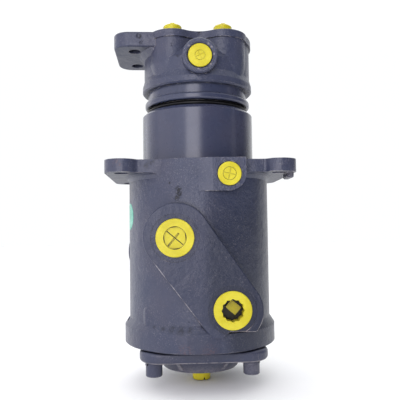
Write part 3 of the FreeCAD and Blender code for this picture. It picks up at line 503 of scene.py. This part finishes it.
class CastingPaint(Shader):
    """Thick satin paint over the castings and the cover's screws.

    machined gives a share of 1 where the metal was turned, and marks holds lists of spots by the kind
    of mark. painted_shade_and_matt_below is the share by which undersides get painted shade and are matt.
    """

    def __init__(self, name, machined, marks, painted_shade_and_matt_below=0.0):
        super().__init__(name)
        self.marks = marks
        self.smooth = machined(self)
        self.rough_skin = self.rest(self.smooth)
        self.crumbs = self.noise(420, 4, 0.7)
        # Facing down: painted shade in the colour, and rougher, less glossy paint
        self.underside = self.times(self.facing("Z", *UNDERSIDE_FACES_Z), painted_shade_and_matt_below)
        self.grain = self.marked("grainy")

    def marked(self, kind):
        return self.near(self.marks.get(kind, ()))

    def primer(self, shade):
        """Grey-blue, warmer and cooler in clouds, with painted shade on undersides and where painted shade is
        given.
        """
        tone = self.span(self.noise(14, 4, 0.6), 0.35, 0.65)
        cool = self.span(self.noise(45, 5, 0.65), 0.40, 0.75)
        colour = self.mix(self.times(tone, WARM_SHARE), PAINT, PAINT_WARM)
        colour = self.mix(self.times(cool, COOL_SHARE), colour, PAINT_COOL)
        colour = self.mix(self.times(self.underside, UNDERSIDE_PAINTED_SHADE), colour, PAINTED_SHADE)
        return colour if shade is None else self.mix(shade, colour, PAINTED_SHADE)

    def add_specks(self, colour):
        """Pale specks in the cast skin, in drifts and on the grainy spots."""
        speck = self.span(self.noise(800, 2, 0.7), 0.56, 0.68)
        drift = self.span(self.noise(38, 3, 0.6), 0.40, 0.62, 0.25, 1.0)
        share = self.most(self.times(drift, SPECK_SHARE), self.times(self.grain, GRAINY_SPECK_SHARE))
        return self.mix(self.times(speck, share, self.rough_skin), colour, PALE_DUST_AND_LIGHT)

    def add_dust_and_light(self, colour, share, line_z):
        """Pale dust and painted light on the spots marked for them, and a broken pale line at one height
        where line_z is given: dust together with a painted highlight.
        """
        dust = self.times(self.marked("dusty_and_lit"), self.span(self.crumbs, 0.25, 0.60))
        if line_z is not None:
            away = self.math("ABSOLUTE", self.math("SUBTRACT", self.axis("Z"), line_z))
            broken = self.span(self.noise(110, 4, 0.7), 0.34, 0.50)
            line = self.times(self.span(away, DUST_AND_HIGHLIGHT_LINE_HALF, 0.0), broken, DUST_AND_HIGHLIGHT_LINE_STRENGTH)
            dust = self.most(dust, line)
        return self.mix(self.times(dust, share), colour, PALE_DUST_AND_LIGHT)

    def add_rust(self, colour):
        self.rust = self.times(self.marked("rusty"), self.span(self.crumbs, 0.45, 0.62))
        return self.mix(self.times(self.rust, RUST_SHARE), colour, RUST)

    def add_pits(self, colour):
        """A few round pits in the cast skin, and torn places on the torn spots."""
        holes = self.span(self.cells(150), 0.10, 0.04)
        few = self.span(self.noise(60, 2, 0.5), 0.56, 0.62)
        torn = self.times(self.marked("torn"), self.span(self.crumbs, 0.47, 0.53))
        self.pits = self.most(self.times(holes, few, self.rough_skin), torn)
        return self.mix(self.times(self.pits, PIT_SHARE), colour, GRIME_AND_SHADE)

    # Soot, and painted shadow on the foot's shoulder
    def add_soot_and_shade(self, colour):
        self.soot_and_shade = self.times(self.marked("sooty_and_shaded"), self.span(self.crumbs, 0.36, 0.60))
        return self.mix(self.times(self.soot_and_shade, SOOT_AND_SHADE_SHARE), colour, GRIME_AND_SHADE)

    def darken_corners(self, colour):
        """Grime and painted shade in corners and in narrow gaps, but none on the pale spots of dust and
        painted light.
        """
        away_from_pale_spots = self.rest(self.marked("dusty_and_lit"))
        colour = self.mix(self.times(self.hollow_share(CORNER_REACH), away_from_pale_spots, CORNER_SHARE), colour, GRIME_AND_SHADE)
        gap = self.hollow_share(GAP_REACH, 0.52, 0.30)
        return self.mix(self.times(gap, away_from_pale_spots, GAP_SHARE), colour, GRIME_AND_SHADE)

    def wear_edges(self, colour, rust_share):
        """Chipped sharp edges away from the intact spots, and rubbed ones on the worn spots."""
        chips = self.times(self.span(self.noise(150, 4, 0.65), 0.50, 0.60), self.rest(self.marked("intact")))
        rubbed = self.times(self.marked("worn"), self.span(self.crumbs, 0.30, 0.55))
        share = self.most(self.times(chips, CHIPPED_EDGE_SHARE), rubbed)
        worn = self.times(self.edge_share(EDGE_WIDTH, *EDGE_BEND), share)
        if "worn" in self.marks:
            rounding = self.times(on_the_pad(self), self.facing("Y", *ROUNDING_FACES_Y))
            worn = self.most(worn, self.times(rounding, rubbed, WORN_ROUNDING_SHARE))
        rusted = self.times(self.span(self.noise(70, 2, 0.5), 0.45, 0.55), rust_share)
        return self.mix(self.times(worn, WORN_SHARE), colour, self.mix(rusted, BARE_EDGE, RUST))

    def relief(self, cast_height):
        """The cast skin under the paint, the paint's own ripple, the grainy spots and the pits."""
        skin = self.plus(self.times(self.noise(560, 3, 0.6), FINE_SKIN), self.noise(230, 4, 0.6),
                         self.times(self.noise(75, 3, 0.5), COARSE_SKIN))
        normal = self.bump(skin, cast_height, self.rough_skin)
        normal = self.bump(self.noise(1100, 2, 0.5), RIPPLE_HEIGHT, 0.35, normal)
        grainy = self.times(self.grain, self.rough_skin)
        normal = self.bump(self.noise(650, 2, 0.6), GRAIN_HEIGHT, grainy, normal)
        return self.bump(self.times(self.pits, -1.0), PIT_HEIGHT, 1.0, normal)

    def roughness(self):
        return self.plus(self.span(self.noise(90, 4, 0.6), 0.3, 0.7, *PAINT_ROUGHNESS),
                         self.times(self.rough_skin, CAST_ROUGHER),
                         self.times(self.most(self.soot_and_shade, self.rust), DIRT_ROUGHER),
                         self.times(self.underside, UNDERSIDE_ROUGHER))

    def coat(self, matt):
        """The gloss on top, more on turned faces, less below and where matt is given."""
        matt = self.underside if matt is None else self.most(self.underside, matt)
        return self.times(self.span(self.smooth, 0.0, 1.0, COAT_ON_CAST, COAT_ON_TURNED), self.rest(matt))


def finish_paint(s, cast_height=0.0005, rust_share=0.0, dust_and_light_share=0.6, line_z=None, shade=None, matt=None):
    """The material of a casting's paint, from its layers."""
    colour = s.add_specks(s.primer(shade))
    colour = s.add_rust(s.add_dust_and_light(colour, dust_and_light_share, line_z))
    colour = s.add_soot_and_shade(s.add_pits(colour))
    colour = s.wear_edges(s.darken_corners(colour), rust_share)
    normal = s.relief(cast_height)
    return s.surface(Base_Color=colour, Roughness=s.roughness(), Normal=normal, Specular_IOR_Level=0.26,
                     Coat_Weight=s.coat(matt), Coat_Roughness=0.15, Coat_Normal=normal)


def on_the_pad(s):
    """One on the pad's face, and on the strip of the foot that reaches as far to the front."""
    return s.math("LESS_THAN", s.axis("Y"), BEHIND_PAD_FACE_Y)


def casing_machined(s):
    """The upper barrel was machined before painting, and the pad's face is smoother than the casting."""
    barrel = s.math("GREATER_THAN", s.axis("Z"), ABOVE_FLANGE_Z)
    return s.most(barrel, s.times(on_the_pad(s), PAD_SMOOTH))


def casing_painted_shade(s):
    """Painted shade on the lower right of the casing, setting in further right on the foot, and a little
    painted shade on the pad's face."""
    shift = s.span(s.axis("Z"), *FOOT_STARTS_Z, 0.0, SHADE_SHIFT_ON_FOOT)
    right = s.span(s.math("SUBTRACT", s.axis("X"), shift), *SHADE_STARTS_X)
    low = s.span(s.axis("Z"), *SHADE_STARTS_Z)
    lower_right = s.times(right, low, LOWER_RIGHT_PAINTED_SHADE)
    return s.math("ADD", lower_right, s.times(on_the_pad(s), PAD_PAINTED_SHADE), clamp=True)


def rotor_machined(s):
    """Collar and neck are turned, and so is the top of the head."""
    neck = s.math("LESS_THAN", s.axis("Z"), BELOW_HEAD_Z)
    top = s.math("GREATER_THAN", s.axis("Z"), BELOW_HEAD_TOP_Z)
    return s.most(neck, top)


def cast_all_over(s):
    return 0.0


def casing_paint():
    s = CastingPaint("paint_casing", casing_machined, CASING_MARKS, painted_shade_and_matt_below=0.4)
    # The casing's colour gets painted shade on its lower right and on the pad's face.
    return finish_paint(s, rust_share=0.4, dust_and_light_share=0.35, shade=casing_painted_shade(s),
                        matt=s.times(on_the_pad(s), PAD_MATT))


def rotor_paint():
    s = CastingPaint("paint_rotor", rotor_machined, HEAD_MARKS, painted_shade_and_matt_below=0.3)
    return finish_paint(s)


def cover_paint():
    s = CastingPaint("paint_cover", cast_all_over, COVER_MARKS)
    return finish_paint(s, cast_height=0.0004, rust_share=0.6, line_z=DUST_AND_HIGHLIGHT_LINE_Z)


def screw_paint():
    s = CastingPaint("paint_screws", cast_all_over, SCREW_MARKS)
    return finish_paint(s, cast_height=0.0001, dust_and_light_share=0.35)


def moulded_plastic(name, shadow_from=None, shades=(PLUG_YELLOW, PLUG_PALE)):
    """Soft yellow plastic of the transport plugs, scuffed and with a little dust on it, with painted shade in
    its hollows and narrow gaps. It has painted deep shadow further back than shadow_from."""
    s = Shader(name)
    colour = s.mix(s.span(s.noise(60, 4, 0.6), 0.35, 0.65), *shades)
    dust = s.span(s.noise(420, 4, 0.7), 0.58, 0.72)
    colour = s.mix(s.times(dust, PLUG_DUST_SHARE), colour, PLUG_DUST)
    hollow = s.hollow_share(PLUG_HOLLOW_REACH, 0.80, 0.40)
    colour = s.mix(s.times(hollow, PLUG_HOLLOW_SHADE_SHARE), colour, PLUG_HOLLOW_SHADE)
    gap = s.hollow_share(PLUG_GAP_REACH, 0.62, 0.40)
    colour = s.mix(s.times(gap, PLUG_GAP_SHADE_SHARE), colour, PLUG_GAP_SHADE)
    if shadow_from is not None:
        deep = s.span(s.axis("Y"), shadow_from, shadow_from + SOCKET_SHADOW_DEPTH)
        colour = s.mix(s.times(deep, PLUG_GAP_SHADE_SHARE), colour, PLUG_GAP_SHADE)
    normal = s.bump(s.noise(500, 3, 0.6), 0.00008, 0.5)
    roughness = s.span(dust, 0.0, 1.0, 0.34, 0.52)
    return s.surface(Base_Color=colour, Roughness=roughness, Normal=normal, Specular_IOR_Level=0.3,
                     Subsurface_Weight=0.12, Subsurface_Radius=(0.003, 0.002, 0.0005), Subsurface_Scale=0.4)


def black_rubber(name):
    """Dusty black rubber with fine lines round the turning axis."""
    s = Shader(name)
    dust = s.span(s.noise(300, 4, 0.7), 0.5, 0.75)
    lines = s.span(s.noise(1.0, 3, 0.6, stretch=(12, 12, 1400)), 0.55, 0.75)
    colour = s.mix(s.times(dust, 0.3), RUBBER, RUBBER_DUST)
    colour = s.mix(s.times(lines, 0.35), colour, RUBBER_LINE)
    normal = s.bump(s.noise(800, 3, 0.6), 0.00005, 0.6)
    return s.surface(Base_Color=colour, Roughness=s.span(dust, 0.0, 1.0, 0.42, 0.62), Normal=normal,
                     Specular_IOR_Level=0.25)


def turned_metal(name, colour, dull):
    """Bare metal with fine tool marks round the turning axis."""
    s = Shader(name)
    marks = s.noise(1.0, 3, 0.6, stretch=(40, 40, 9000))
    shade = s.mix(s.times(s.span(s.noise(80, 4, 0.6), 0.3, 0.7), 0.5), colour, dull)
    normal = s.bump(marks, 0.00003, 0.5)
    return s.surface(Base_Color=shade, Metallic=1.0, Roughness=s.span(marks, 0.3, 0.7, 0.22, 0.4),
                     Normal=normal)


def filled_plastic(name):
    """Grey-green filled plastic of the slip rings and guide rings."""
    s = Shader(name)
    colour = s.mix(s.span(s.noise(700, 3, 0.7), 0.4, 0.7), RING_PALE, RING_DARK)
    normal = s.bump(s.noise(900, 2, 0.5), 0.00003, 0.4)
    return s.surface(Base_Color=colour, Roughness=0.45, Normal=normal)


def sticker_film(name):
    """Teal film, faded unevenly."""
    s = Shader(name)
    fade = s.span(s.noise(110, 4, 0.6), 0.35, 0.7)
    colour = s.mix(fade, TEAL, TEAL_FADED)
    normal = s.bump(s.noise(300, 3, 0.6), 0.00006, 0.4)
    return s.surface(Base_Color=colour, Roughness=s.span(fade, 0.0, 1.0, 0.38, 0.5), Normal=normal)


def floor_paper(name):
    """Plain pale paper."""
    s = Shader(name)
    colour = s.mix(s.span(s.noise(6, 3, 0.5), 0.3, 0.7), PAPER, PAPER_PALE)
    normal = s.bump(s.noise(220, 3, 0.5), 0.0001, 0.2)
    return s.surface(Base_Color=colour, Roughness=0.9, Normal=normal, Specular_IOR_Level=0.1)


def dress(material, *names):
    for name in names:
        mesh = nodes[name].data
        mesh.materials.clear()
        mesh.materials.append(material)


def named(part_of_name):
    return [name for name in nodes if part_of_name in name]


def dress_the_solids():
    dress(casing_paint(), "casing")
    dress(rotor_paint(), "rotor")
    dress(cover_paint(), "bottom_cover")
    dress(screw_paint(), "cover_screws", "cover_spring_washers")
    dress(black_rubber("rubber"), "dust_seal", "bottom_cover_ring", *named("seal_energiser"))
    dress(filled_plastic("seal_plastic"), *named("guide_ring"), *named("slipper_seal"))
    dress(turned_metal("steel", STEEL, STEEL_DULL), "thrust_plate", "thrust_plate_bolts")
    dress(turned_metal("bronze", BRONZE, BRONZE_DULL), "thrust_washer")
    dress(moulded_plastic("plug_yellow"), *named("plug"))
    # The bottom plug is painted lighter: painted light where it stands in the object's shadow
    dress(moulded_plastic("plug_painted_light", shades=(PLUG_PAINTED_LIGHT, PLUG_PAINTED_LIGHT)), "bottom_plug")
    dress(moulded_plastic("plug_socket", shadow_from=SOCKET_SHADOW_Y), "lower_port_plug")


def make_sticker():
    """A thin round patch laid on the curved side of the body."""
    mesh = bmesh.new()
    bmesh.ops.create_circle(mesh, cap_ends=False, segments=STICKER_SIDES, radius=STICKER_R)
    rim = list(mesh.verts)
    inner = rim
    for share in STICKER_RINGS:
        ring = [mesh.verts.new(v.co * share) for v in rim]
        for i, vertex in enumerate(inner):
            j = (i + 1) % len(inner)
            mesh.faces.new((vertex, inner[j], ring[j], ring[i]))
        inner = ring
    mesh.faces.new(inner)
    bmesh.ops.recalc_face_normals(mesh, faces=mesh.faces)
    if mesh.faces[0].normal.z < 0:
        bmesh.ops.reverse_faces(mesh, faces=mesh.faces)
    radius = BODY_R + STICKER_LIFT
    for vertex in mesh.verts:
        turn = STICKER_ANGLE + vertex.co.x / radius
        height = STICKER_Z + vertex.co.y
        vertex.co = (radius * math.cos(turn), radius * math.sin(turn), height)
    for face in mesh.faces:
        face.smooth = True
    data = bpy.data.meshes.new("round_sticker")
    mesh.to_mesh(data)
    mesh.free()
    sticker = bpy.data.objects.new("round_sticker", data)
    bpy.context.scene.collection.objects.link(sticker)
    data.materials.append(sticker_film("sticker_film"))
    film = sticker.modifiers.new("film", "SOLIDIFY")
    film.thickness = STICKER_THICKNESS
    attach(sticker, "casing")


def make_floor():
    data = bpy.data.meshes.new("floor")
    corners = [(x * FLOOR_HALF, y * FLOOR_HALF, FLOOR_Z) for x, y in ((-1, -1), (1, -1), (1, 1), (-1, 1))]
    data.from_pydata(corners, [], [(0, 1, 2, 3)])
    floor = bpy.data.objects.new("floor", data)
    bpy.context.scene.collection.objects.link(floor)
    data.materials.append(floor_paper("floor_paper"))


def main():
    place_camera()
    light_the_world()
    light_the_studio()
    make_floor()
    dress_the_solids()
    make_sticker()
    bpy.context.scene.view_settings.view_transform = "Standard"


main()
